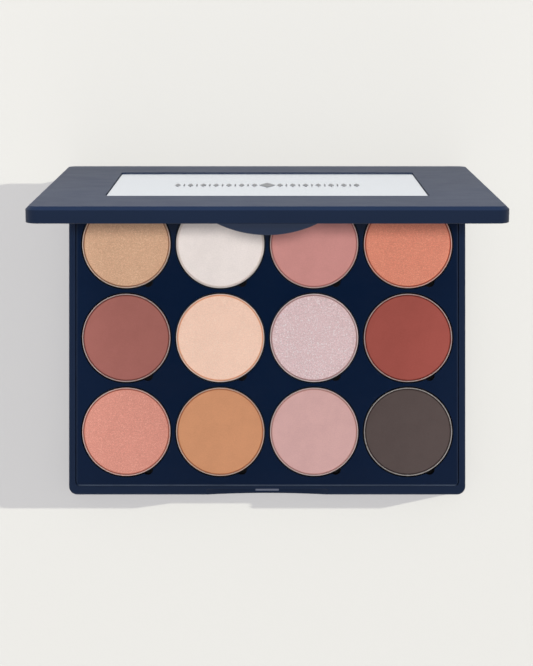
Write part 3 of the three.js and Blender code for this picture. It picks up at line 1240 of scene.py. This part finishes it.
@dataclass
class LowerCase:
    """The lower case with its rim, thumb pocket, latch nib and hinge ears."""

    corner: float = 2.4 * MM
    edge: float = 0.45 * MM
    inner_corner: float = 1.2 * MM
    floor: float = 1.4 * MM
    pocket_width: float = 35.6 * MM
    pocket_sill: float = 1.5 * MM
    pocket_wall: float = 0.8 * MM
    pocket_fillet: float = 0.35 * MM
    pocket_edge: float = 0.3 * MM
    nib: tuple[float, float, float] = (6.8 * MM, 0.6 * MM, 1.1 * MM)
    nib_below_rim: float = 0.5 * MM
    panel_inset: float = 12 * MM
    panel_depth: float = 0.2 * MM
    panel_corner: float = 2 * MM
    soft_edge: float = 0.12 * MM
    nib_edge: float = 0.06 * MM

    def build(self) -> None:
        """Models and dresses the case."""
        low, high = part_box("base_case")
        rim = TURN.point.z
        top = Vector((high.x, high.y, rim))
        case = rounded_block("case_shell", low, top, self.corner)
        case.bevel(level_edges(rim), self.edge, 4).bevel(level_edges(low.z), self.edge, 4)
        inner_low, inner_high = cavity_box()
        hollow_low = Vector((inner_low.x, inner_low.y, self.floor))
        hollow_high = Vector((inner_high.x, inner_high.y, rim + PAST))
        case.cut(rounded_block("hollow", hollow_low, hollow_high, self.inner_corner, 6))
        self._cut_pocket(case, low, inner_low, rim)
        self._shape_hinge(case, high)
        panel_low = Vector((low.x + self.panel_inset, low.y + self.panel_inset, low.z - PAST))
        panel_high = Vector((high.x - self.panel_inset, high.y - self.panel_inset, low.z + self.panel_depth))
        case.cut(rounded_block("panel", panel_low, panel_high, self.panel_corner, 6))
        case.tidy().soften(self.soft_edge).smooth()
        case.fitted("base", CASE_PLASTIC, "base_case")

    def _cut_pocket(self, case: Workpiece, low: Vector, inner_low: Vector, rim: float) -> None:
        """Cuts the thumb pocket and puts the latch nib on its back wall.

        Args:
            case: the case.
            low: the case's lowest corner.
            inner_low: the hollow's lowest corner.
            rim: the rim's height.
        """
        depth = rim - self.pocket_sill
        radius = arc_radius(self.pocket_width, depth)
        back = inner_low.y - self.pocket_wall
        length = back - low.y + PAST
        centre = Vector((0, back - length / 2, rim - depth + radius))
        pocket = Workpiece.bar("pocket", centre, radius, length, Axis.Y, sides=256)
        pocket.bevel(lambda a, b: min(a.y, b.y) > back - TOUCH, self.pocket_fillet, 3)
        case.cut(pocket)
        wall_edge = lambda point: abs(point.z - rim) < TOUCH and abs(point.y - back) < TOUCH
        case.bevel(lambda a, b: wall_edge(a) and wall_edge(b), self.pocket_edge, 3)
        width, proud, height = self.nib
        nib_top = rim - self.nib_below_rim
        nib_low = Vector((-width / 2, back - proud, nib_top - height))
        nib = Workpiece.block("latch_nib", nib_low, Vector((width / 2, back, nib_top)))
        outer_top = lambda a, b: max(a.y, b.y) < back - proud / 2 and min(a.z, b.z) > nib_top - height / 2
        nib.shift(outer_top, Vector((0, 0, -proud / 2))).soften(self.nib_edge).smooth()
        nib.fitted("base", LATCH_PLASTIC)

    @staticmethod
    def _shape_hinge(case: Workpiece, high: Vector) -> None:
        """Slopes the case off behind the hinge line and gives it its four ears.

        Args:
            case: the case.
            high: its highest corner.
        """
        far = high.x + PAST
        case.cut(HINGE.wedge(far, 1, HINGE.case_chamfer))
        for side in (-1, 1):
            case.add(HINGE.rod(HINGE.barrel, side * HINGE.ear_inner, side * HINGE.knuckle_inner))
            case.add(HINGE.rod(HINGE.barrel, side * HINGE.knuckle_outer, side * high.x))
            case.cut(HINGE.rod(HINGE.clearance, side * HINGE.knuckle_inner, side * HINGE.knuckle_outer))
            case.cut(HINGE.rod(HINGE.pin_hole, side * (HINGE.ear_inner + HINGE.ear_wall), side * far))


@dataclass
class Tray:
    """The deck with its notched wells, and the magnetic sheet below it."""

    corner: float = 1.05 * MM
    front_swell: float = 0.12 * MM
    edge_width: float = 0.5 * MM
    edge_drop: float = 0.04 * MM
    well_gap: float = 0.25 * MM
    notch_radius: float = 1.5 * MM
    notch_reach: float = 0.95 * MM
    notch_angle: float = math.radians(-60.5)
    core_radius: float = 3.6 * MM
    core_overlap: float = 0.001 * MM
    deck_plate: float = 1.2 * MM
    soft_edge: float = 0.14 * MM

    def build(self) -> None:
        """Models and dresses the tray."""
        low, high = DECK_LOW, DECK_HIGH
        edge = Vector((0, 0, self.edge_drop))
        swell = Vector((0, self.front_swell, 0))
        tray = rounded_block("deck_tray", low - swell, high + swell - edge, self.corner, 6)
        tray.inset(faces_at(high.z - self.edge_drop, 1), self.edge_width, self.edge_drop)
        boxes = [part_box(f"pan_{number}") for number in range(1, len(SHADES) + 1)]
        centres = [(a + b) / 2 for a, b in boxes]
        radius = (boxes[0][1].x - boxes[0][0].x) / 2 + self.well_gap
        tall = high.z - low.z + 2 * PAST
        middles = [Vector((centre.x, centre.y, (low.z + high.z) / 2)) for centre in centres]
        tray.cut(self._bars(middles, radius, tall, 128))
        offset = radius + self.notch_reach - self.notch_radius
        towards = Vector((math.cos(self.notch_angle), math.sin(self.notch_angle), 0)) * offset
        tray.cut(self._bars([middle + towards for middle in middles], self.notch_radius, tall, 48))
        half_pitch = (centres[1].x - centres[0].x) / 2
        between = Vector((half_pitch, -half_pitch, -self.deck_plate / 2))
        right = max(middle.x for middle in middles) - half_pitch
        front = min(middle.y for middle in middles) + half_pitch
        inner = [middle for middle in middles if middle.x < right and middle.y > front]
        core_height = high.z - low.z - self.deck_plate + self.core_overlap
        tray.cut(self._bars([middle + between for middle in inner], self.core_radius, core_height, 48))
        tray.tidy().soften(self.soft_edge, 3, math.radians(40)).smooth()
        tray.fitted("base", DECK_PLASTIC, "pan_tray")
        MAGNET.dress(frame["nodes"]["magnet_sheet"])
        LOG.info("magnet_sheet keeps its shape from the frame")

    @staticmethod
    def _bars(centres: list[Vector], radius: float, length: float, sides: int) -> Workpiece:
        """Makes one tool of equal upright bars.

        Args:
            centres: the bars' middles.
            radius: their radius.
            length: their length.
            sides: how many sides each has.

        Returns:
            The tool.
        """
        first = Workpiece.bar("bars", centres[0], radius, length, sides=sides)
        return first.joined([first.copied("bar", centre - centres[0]) for centre in centres[1:]])


@dataclass
class FilledPans:
    """The pressed metal pans and the powder in them."""

    side_draft: float = 0.13 * MM
    sheet: float = 0.3 * MM
    foot: float = 0.5 * MM
    rim_round: float = 0.1 * MM
    shoulder: float = 0.5 * MM
    shoulder_drop: float = 0.3 * MM
    crown: float = 0.1 * MM
    sides: int = 128
    shoulder_steps: int = 6
    crown_rings: int = 8
    dust_cover: float = 0.7
    dust_powder: float = 0.65

    def build(self) -> None:
        """Models one pan and one cake, and copies them into every well."""
        first_low, first_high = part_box("pan_1")
        pan = self._pan(first_low, first_high)
        cake_low, cake_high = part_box("powder_1")
        wall = Vector((self.sheet, self.sheet, 0))
        inner_low, inner_high = first_low + wall, first_high - wall
        inner_low.z, inner_high.z = cake_low.z, cake_high.z
        cake = self._cake(inner_low, inner_high)
        cake_radius = (inner_high.x - inner_low.x) / 2 - self.side_draft
        for number, shade in enumerate(SHADES, start=1):
            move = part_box(f"pan_{number}")[0] - first_low
            body = f"filled_pan_{number}"
            tinplate = DustedMetal(
                f"tinplate_{shade.name}", "pan_metal", PAN_TIN, self._dust(shade), self.dust_cover
            )
            pan.copied(f"pan_{number}_tinplate", move).fitted(body, tinplate, f"pan_{number}")
            low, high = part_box(f"powder_{number}")
            finish = PressedPowder(
                f"powder_{shade.name}", f"powder_{number}", shade.colour, shade.edge_shade, shade.shine,
                tuple((low + high) / 2), cake_radius,
            )
            cake.copied(f"powder_{number}_{shade.name}", move).fitted(body, finish, f"powder_{number}")
        for pattern in (pan, cake):
            bpy.data.objects.remove(pattern.piece)

    def _dust(self, shade: Shade) -> Colour:
        """Gives the colour of the dust on a pan's rim: the powder's, greyed by the tin below."""
        share = self.dust_powder
        pairs = zip(shade.colour[:3], PAN_DUST)
        return (*(share * powder + (1 - share) * tin for powder, tin in pairs), 1.0)

    def _pan(self, low: Vector, high: Vector) -> Workpiece:
        """Draws a pan from a disc: a hollow with a rounded foot and a rounded rim.

        Args:
            low: the pan's lowest corner.
            high: its highest corner.

        Returns:
            The pan.
        """
        radius = (high.x - low.x) / 2 - self.side_draft
        pan = Workpiece.bar("pan_pattern", (low + high) / 2, radius, high.z - low.z, sides=self.sides)
        pan.bevel(level_edges(low.z), self.foot, 4)
        pan.inset(faces_at(high.z, 1), self.sheet)
        centre = (low + high) / 2
        on_top = faces_at(high.z, 1)
        inside = lambda at, normal: on_top(at, normal) and (at.xy - centre.xy).length < radius / 2
        pan.extrude(inside, Vector((0, 0, -(high.z - low.z - self.sheet))))
        pan.bevel(level_edges(high.z), self.rim_round, 3)
        return pan.smooth()

    def _cake(self, low: Vector, high: Vector) -> Workpiece:
        """Presses a cake: its edge falls away in a round shoulder and its top is lightly crowned.

        Args:
            low: the lowest corner of the room in the pan.
            high: its highest corner.

        Returns:
            The cake.
        """
        radius = (high.x - low.x) / 2 - self.side_draft
        wall_top = high.z - self.crown - self.shoulder_drop
        middle = Vector(((low.x + high.x) / 2, (low.y + high.y) / 2, (low.z + wall_top) / 2))
        cake = Workpiece.bar("cake_pattern", middle, radius, wall_top - low.z, sides=self.sides)
        profile = []
        for step in range(1, self.shoulder_steps + 1):
            turn = step / self.shoulder_steps * math.pi / 2
            ring = radius - self.shoulder * (1 - math.cos(turn))
            profile.append((ring, wall_top + self.shoulder_drop * math.sin(turn)))
        flat, flat_level = profile[-1]
        for step in range(1, self.crown_rings):
            share = 1 - step / self.crown_rings
            profile.append((flat * share, flat_level + self.crown * (1 - share**2)))
        ring, level = radius, wall_top
        for next_ring, next_level in profile:
            cake.inset(self._cap(level, middle), ring - next_ring, next_level - level)
            ring, level = next_ring, next_level
        return cake.smooth(math.radians(60))

    @staticmethod
    def _cap(level: float, middle: Vector) -> Callable[[Vector, Vector], bool]:
        """Returns a test that picks the face closing the cake's top at a level."""
        at_level = lambda at: abs(at.z - level) < TOUCH / 5 and (at.xy - middle.xy).length < 1 * MM
        return lambda at, normal: normal.z > 0.9 and at_level(at)


@dataclass
class HingePins:
    """The two steel pins."""

    chamfer: float = 0.12 * MM

    def build(self) -> None:
        """Models and dresses both pins."""
        for side in ("left", "right"):
            low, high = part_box(f"hinge_pin_{side}")
            radius, length = (high.z - low.z) / 2, high.x - low.x
            pin = Workpiece.bar(f"pin_{side}_steel", (low + high) / 2, radius, length, Axis.X, 48)
            pin.bevel(lambda a, b: abs(a.x - b.x) < TOUCH, self.chamfer, 2).smooth()
            pin.fitted("base", PIN_METAL, f"hinge_pin_{side}")


@dataclass
class Lid:
    """The lid shell with its tab, and the plaque with its ornament."""

    corner: float = 3.2 * MM
    edge: float = 0.85 * MM
    edge_round: float = 0.22 * MM
    inner_corner: float = 1.2 * MM
    parting_gap: float = 0.1 * MM
    skin: float = 1.4 * MM
    tab_width: float = 24.3 * MM
    tab_drop: float = 2.8 * MM
    tab_step: float = 0.25 * MM
    tab_thickness: float = 1.0 * MM
    catch: tuple[float, float, float] = (6.8 * MM, 0.35 * MM, 0.7 * MM)
    catch_above_tab: float = 0.25 * MM
    catch_root: float = 0.2 * MM
    tab_root: float = 0.5 * MM
    plaque_gap: float = 0.15 * MM
    plaque_pocket: float = 0.1 * MM
    plaque_corner: float = 1.0 * MM
    plaque_edge: float = 0.12 * MM
    lozenges: int = 15
    lozenge_pitch: float = 3.4 * MM
    lozenge: tuple[float, float] = (1.5 * MM, 7 * MM)
    centre_lozenge: tuple[float, float] = (4.2 * MM, 10 * MM)
    bar: tuple[float, float] = (0.5 * MM, 4 * MM)
    mark_rise: float = 0.2 * MM
    mark_sunk: float = 0.05 * MM
    mark_slope: float = 0.2
    band_shift: float = -1.5 * MM
    soft_edge: float = 0.16 * MM
    tab_edge: float = 0.12 * MM

    def build(self) -> None:
        """Models and dresses the lid."""
        low, high = TURN.shut_box("lid_shell")
        self._shell(low, high)
        self._plaque()

    def _shell(self, low: Vector, high: Vector) -> None:
        """Models the shell, shut, and opens it.

        Args:
            low: the shut shell's lowest corner, which is the tab's.
            high: its highest corner.
        """
        bottom = TURN.point.z + self.parting_gap
        start = Vector((low.x, low.y, bottom))
        lid = rounded_block("lid_cover", start, high, self.corner, 14)
        lid.bevel(level_edges(high.z), self.edge, 1).bevel(level_edges(bottom), self.edge_round, 3)
        inner_low, inner_high = cavity_box()
        hollow_low = Vector((inner_low.x, inner_low.y, bottom - PAST))
        hollow_high = Vector((inner_high.x, inner_high.y, high.z - self.skin))
        hollow = rounded_block("hollow", hollow_low, hollow_high, self.inner_corner, 6)
        plaque_low, plaque_high = TURN.shut_box("lid_plaque")
        gap = Vector((self.plaque_gap, self.plaque_gap, self.plaque_pocket))
        above = gap + Vector((0, 0, PAST))
        recess = rounded_block("recess", plaque_low - gap, plaque_high + above, self.plaque_corner, 6)
        lid.cut(hollow).cut(recess)
        self._shape_hinge(lid, high)
        self._add_tab(lid, low, bottom)
        lid.tidy().soften(self.soft_edge, 3).smooth()
        TURN.open_up(lid).fitted("lid", CASE_PLASTIC, "lid_shell")

    @staticmethod
    def _shape_hinge(lid: Workpiece, high: Vector) -> None:
        """Slopes the lid off behind the hinge line and gives it its two knuckles.

        Args:
            lid: the lid, shut.
            high: its highest corner.
        """
        far = high.x + PAST
        lid.cut(HINGE.wedge(far, -1, HINGE.lid_chamfer))
        start, end = HINGE.knuckle_inner + HINGE.end_gap, HINGE.knuckle_outer - HINGE.end_gap
        lid.cut(HINGE.rod(HINGE.clearance - HINGE.barrel, -start, start))
        for side in (-1, 1):
            lid.cut(HINGE.rod(HINGE.clearance, side * (HINGE.ear_inner - HINGE.end_gap), side * start))
            lid.cut(HINGE.rod(HINGE.clearance, side * end, side * far))
            lid.add(HINGE.rod(HINGE.barrel, side * start, side * end))
            hole = HINGE.pin_hole + HINGE.pin_play
            lid.cut(HINGE.rod(hole, side * (start - PAST), side * (end + PAST)))

    def _add_tab(self, lid: Workpiece, low: Vector, bottom: float) -> None:
        """Makes the round tab under the lid's front wall and adds the latch catch behind it.

        Args:
            lid: the lid, shut.
            low: the shut lid's lowest corner.
            bottom: the height of the lid's lower edge.
        """
        radius = arc_radius(self.tab_width, self.tab_drop)
        front = low.y + self.tab_step
        centre = Vector((0, front + self.tab_thickness / 2, bottom - self.tab_drop + radius))
        tab = Workpiece.bar("tab", centre, radius, self.tab_thickness, Axis.Y, sides=256)
        tab.slice_off(Vector((0, 0, bottom + self.tab_root)), Vector((0, 0, 1)))
        tab.soften(self.tab_edge, 3).smooth()
        TURN.open_up(tab).fitted("lid", TAB_PLASTIC)
        width, proud, height = self.catch
        inner = front + self.tab_thickness
        catch_low = Vector((-width / 2, inner - self.catch_root, low.z + self.catch_above_tab))
        catch_high = Vector((width / 2, inner + proud, catch_low.z + height))
        lid.add(Workpiece.block("catch", catch_low, catch_high))

    def _plaque(self) -> None:
        """Models the plaque and its raised ornament, a row of lozenges with bars between them."""
        low, high = TURN.shut_box("lid_plaque")
        plaque = rounded_block("plaque_plate", low, high, self.plaque_corner, 8)
        plaque.bevel(level_edges(high.z), self.plaque_edge, 3).smooth()
        TURN.open_up(plaque).fitted("lid", SILVER, "lid_plaque")
        middle = (low + high) / 2 + Vector((0, self.band_shift, 0))
        central = self.lozenges // 2
        marks = []
        for index in range(self.lozenges):
            place = Vector((middle.x + (index - central) * self.lozenge_pitch, middle.y, high.z))
            size = self.centre_lozenge if index == central else self.lozenge
            marks.append(self._mark(f"lozenge_{index}", place, *size, 4))
            if index not in (0, central, central + 1):
                before = place - Vector((self.lozenge_pitch / 2, 0, 0))
                marks.append(self._mark(f"bar_{index}", before, *self.bar, 16))
        ornament = marks[0].joined(marks[1:])
        ornament.piece.name = "plaque_ornament"
        TURN.open_up(ornament.smooth()).fitted("lid", SHADED_ORNAMENT_METAL)

    def _mark(self, name: str, centre: Vector, width: float, length: float, sides: int) -> Workpiece:
        """Makes one raised mark of the ornament, with a sloping edge all round.

        Args:
            name: its name.
            centre: its middle, on the plaque's face.
            width: its size along X.
            length: its size along Y.
            sides: 4 for a lozenge, more for an oval bar.

        Returns:
            The mark.
        """
        wall = self.mark_rise / 2 + self.mark_sunk
        seat = centre + Vector((0, 0, wall / 2 - self.mark_sunk))
        mark = Workpiece.bar(name, seat, width / 2, wall, sides=sides)
        longer = Matrix.Diagonal((1, length / width, 1, 1))
        mark.placed(Matrix.Translation(centre) @ longer @ Matrix.Translation(-centre))
        top = faces_at(centre.z + self.mark_rise / 2, 1)
        return mark.inset(top, width * self.mark_slope, self.mark_rise / 2)


@dataclass
class MirrorUnit:
    """The mirror, its frame and the adhesive pad behind it."""

    width: float = 3.85 * MM
    lip: float = 0.3 * MM
    overlap: float = 0.8 * MM
    corner: float = 1.5 * MM
    glass_bevel: float = 0.25 * MM
    soft_edge: float = 0.1 * MM

    def build(self) -> None:
        """Models and dresses the unit."""
        low, high = TURN.shut_box("mirror_frame")
        seat_low, seat_high = self._within(low, high, self.width)
        window_low, window_high = self._within(low, high, self.width + self.overlap)
        bezel = rounded_block("mirror_bezel", low, high, self.corner, 6)
        seat_low.z, seat_high.z = low.z + self.lip, high.z + PAST
        window_low.z, window_high.z = low.z - PAST, high.z
        bezel.cut(rounded_block("seat", seat_low, seat_high, self.corner, 6))
        bezel.cut(rounded_block("window", window_low, window_high, self.corner, 6))
        bezel.tidy().soften(self.soft_edge, 3).smooth()
        TURN.open_up(bezel).fitted("lid", BEZEL_PLASTIC, "mirror_frame")
        glass_low, glass_high = TURN.shut_box("mirror")
        pane = rounded_block("mirror_pane", glass_low, glass_high, self.corner, 8)
        pane.bevel(level_edges(glass_low.z), self.glass_bevel, 1).smooth(math.radians(20))
        TURN.open_up(pane).fitted("lid", GLASS, "mirror")
        FOAM.dress(frame["nodes"]["mirror_tape"])
        LOG.info("mirror_tape keeps its shape from the frame")

    @staticmethod
    def _within(low: Vector, high: Vector, by: float) -> tuple[Vector, Vector]:
        """Returns the corners of a box that is smaller in plan on every side."""
        step = Vector((by, by, 0))
        return low + step, high - step


@dataclass
class Studio:
    """The floor, the lights and the camera.

    The floor has suns of its own: a low one that throws the long soft shadow, and a fill. All but the
    floor is lit by a sun overhead and by a lamp behind the lid. Cones are pairs of cosines between which
    a glow of the room comes or goes.

    Attributes:
        front_shade: how light the floor is in front of the palette, as a share of its back.
        shade_reach: how far that change goes to front and back, in millimetres.
        dark_towards: where the room is dark.
        overhead_cone: how wide the dark is.
        overhead_glow: the glow in the dark.
        side_cone: where the glow of the room's lower half ends.
        side_glow: that glow.
        front_box: where a bright panel stands, above and in front.
        box_cone: how wide the panel is.
        box_glow: its glow.
    """

    camera_place: tuple[float, float, float] = (-0.2 * MM, 0.32 * MM, 522 * MM)
    lens: float = 95.5
    sensor: float = 36.0
    floor_size: float = 4.0
    floor_gap: float = 0.02 * MM
    floor_colour: Colour = linear(168, 167, 164)
    front_shade: float = 0.965
    shade_reach: float = 120.0
    room_strength: float = 0.42
    room_colour: Colour = (0.965, 0.975, 1.0, 1)
    dark_towards: tuple[float, float, float] = (0, 0.035, 1)
    overhead_cone: tuple[float, float] = (0.9848, 0.9976)
    overhead_glow: float = 0.02
    side_cone: tuple[float, float] = (0.1, 0.6)
    side_glow: float = 0.7
    front_box: tuple[float, float, float] = (0, -math.sin(math.radians(46)), math.cos(math.radians(46)))
    box_cone: tuple[float, float] = (0.94, 0.985)
    box_glow: float = 1.6
    overhead_energy: float = 1.8
    overhead_tilt: float = math.radians(2.0)
    overhead_angle: float = math.radians(2.8)
    overhead_colour: tuple[float, float, float] = (1.0, 0.99, 0.965)
    key_energy: float = 6.94
    key_elevation: float = math.radians(16.8)
    key_azimuth: float = math.radians(12.2)
    key_angle: float = math.radians(1.2)
    key_colour: tuple[float, float, float] = (1.0, 1.0, 0.87)
    fill_energy: float = 3.9
    fill_colour: tuple[float, float, float] = (0.952, 0.946, 1.0)
    lid_lamp_place: tuple[float, float, float] = (0, 0.23, 0.17)
    lid_lamp_size: tuple[float, float] = (0.3, 0.04)
    lid_lamp_watts: float = 1.0
    lid_lamp_colour: tuple[float, float, float] = (0.95, 0.98, 1.0)

    def build(self) -> None:
        """Sets the studio up."""
        bpy.context.scene.view_settings.view_transform = "Standard"
        self._camera()
        floor = self._floor()
        only_floor = self._group("floor_only", floor, True)
        all_but_floor = self._group("not_floor", floor, False)
        low_key = Vector((
            math.cos(self.key_elevation) * math.cos(self.key_azimuth),
            math.cos(self.key_elevation) * math.sin(self.key_azimuth),
            math.sin(self.key_elevation),
        ))
        overhead = Vector((0, -math.sin(self.overhead_tilt), math.cos(self.overhead_tilt)))
        key = self._light("low_key", "SUN", self.key_energy, self.key_colour)
        key.angle = self.key_angle
        self._hang(key, low_key, only_floor)
        above = self._light("overhead", "SUN", self.overhead_energy, self.overhead_colour)
        above.angle = self.overhead_angle
        self._hang(above, overhead, all_but_floor)
        fill = self._light("table_fill", "SUN", self.fill_energy, self.fill_colour)
        fill.angle = self.key_angle
        fill.use_shadow = False
        self._hang(fill, Vector((0, 0, 1)), only_floor)
        behind_lid = self._light("lid_lamp", "AREA", self.lid_lamp_watts, self.lid_lamp_colour)
        behind_lid.shape = "RECTANGLE"
        behind_lid.size, behind_lid.size_y = self.lid_lamp_size
        place = Vector(self.lid_lamp_place)
        self._hang(behind_lid, place, all_but_floor).location = place
        self._surroundings()

    def _camera(self) -> None:
        """Looks straight down on the palette."""
        data = bpy.data.cameras.new("camera")
        data.lens = self.lens
        data.sensor_width = self.sensor
        camera = bpy.data.objects.new("camera", data)
        camera.location = self.camera_place
        bpy.context.scene.collection.objects.link(camera)
        bpy.context.scene.camera = camera

    def _floor(self) -> bpy.types.Object:
        """Lays a wide pale floor under the case.

        Returns:
            The floor.
        """
        bpy.ops.object.select_all(action="DESELECT")
        bpy.ops.mesh.primitive_plane_add(size=self.floor_size, location=(0, 0, -self.floor_gap))
        floor = bpy.context.view_layer.objects.active
        floor.name = "floor"
        board, material = Board.for_material("floor_paper")
        at = board.place()
        tooth = board.noise(at, 0.6, detail=3)
        drift = board.noise(at, 160, detail=2)
        paper = board.mix(drift, self.floor_colour, scaled(self.floor_colour, 0.985))
        towards_back = board.along(at, Axis.Y).between(-self.shade_reach, self.shade_reach)
        white = (1, 1, 1, 1)
        shade = board.mix(towards_back, scaled(white, self.front_shade), white)
        board.surface(
            Base_Color=board.node("ShaderNodeVectorMath", {"operation": "MULTIPLY"}, {0: paper, 1: shade}),
            Roughness=tooth.between(0.2, 0.8, 0.85, 0.98),
            Specular_IOR_Level=0.1,
            Normal=board.bump(tooth, 0.01),
        )
        floor.data.materials.append(material)
        return floor

    @staticmethod
    def _group(name: str, member: bpy.types.Object, included: bool) -> bpy.types.Collection:
        """Makes a collection that a light uses to light one object only, or all but that object.

        Args:
            name: the collection's name.
            member: the object.
            included: whether the object alone is lit.

        Returns:
            The collection.
        """
        group = bpy.data.collections.new(name)
        group.objects.link(member)
        if not included:
            group.collection_objects[0].light_linking.link_state = "EXCLUDE"
        return group

    @staticmethod
    def _light(name: str, kind: str, energy: float, colour: tuple[float, float, float]) -> bpy.types.Light:
        """Makes a light's data.

        Args:
            name: the light's name.
            kind: SUN or AREA.
            energy: its strength.
            colour: its colour.

        Returns:
            The light's data.
        """
        light = bpy.data.lights.new(name, kind)
        light.energy = energy
        light.color = colour
        return light

    @staticmethod
    def _hang(light: bpy.types.Light, towards: Vector, lit: bpy.types.Collection) -> bpy.types.Object:
        """Hangs a light that leaves no glint.

        Args:
            light: the light's data.
            towards: the direction to the light.
            lit: what it lights.

        Returns:
            The light.
        """
        lamp = bpy.data.objects.new(light.name, light)
        lamp.rotation_euler = towards.to_track_quat("Z", "Y").to_euler()
        lamp.light_linking.receiver_collection = lit
        lamp.visible_glossy = False
        bpy.context.scene.collection.objects.link(lamp)
        return lamp

    def _surroundings(self) -> None:
        """Puts a pale room round it that is dark overhead, so that level gloss stays deep."""
        world = bpy.data.worlds.new("room")
        world.use_nodes = True
        world.node_tree.nodes.clear()
        bpy.context.scene.world = world
        board = Board(world.node_tree)
        direction = board.node("ShaderNodeTexCoord", output="Generated")
        upwards = board.facing(direction, tuple(Vector(self.dark_towards).normalized()))
        room = upwards.between(*self.overhead_cone, 1.0, self.overhead_glow)
        sides = upwards.between(*self.side_cone, self.side_glow, 0.0)
        panel = board.facing(direction, self.front_box).between(*self.box_cone, 0.0, self.box_glow)
        strength = (room + sides + panel) * self.room_strength
        light = board.node("ShaderNodeBackground", inputs={"Color": self.room_colour, "Strength": strength})
        board.end(light, "ShaderNodeOutputWorld")


def main() -> None:
    """Builds the palette and its studio."""
    logging.basicConfig(level=logging.INFO, format="%(name)s: %(message)s")
    Studio().build()
    for assembly in (LowerCase(), Tray(), FilledPans(), HingePins(), Lid(), MirrorUnit()):
        assembly.build()
        LOG.info("%s is built", type(assembly).__name__)


if __name__ == "__main__":
    main()
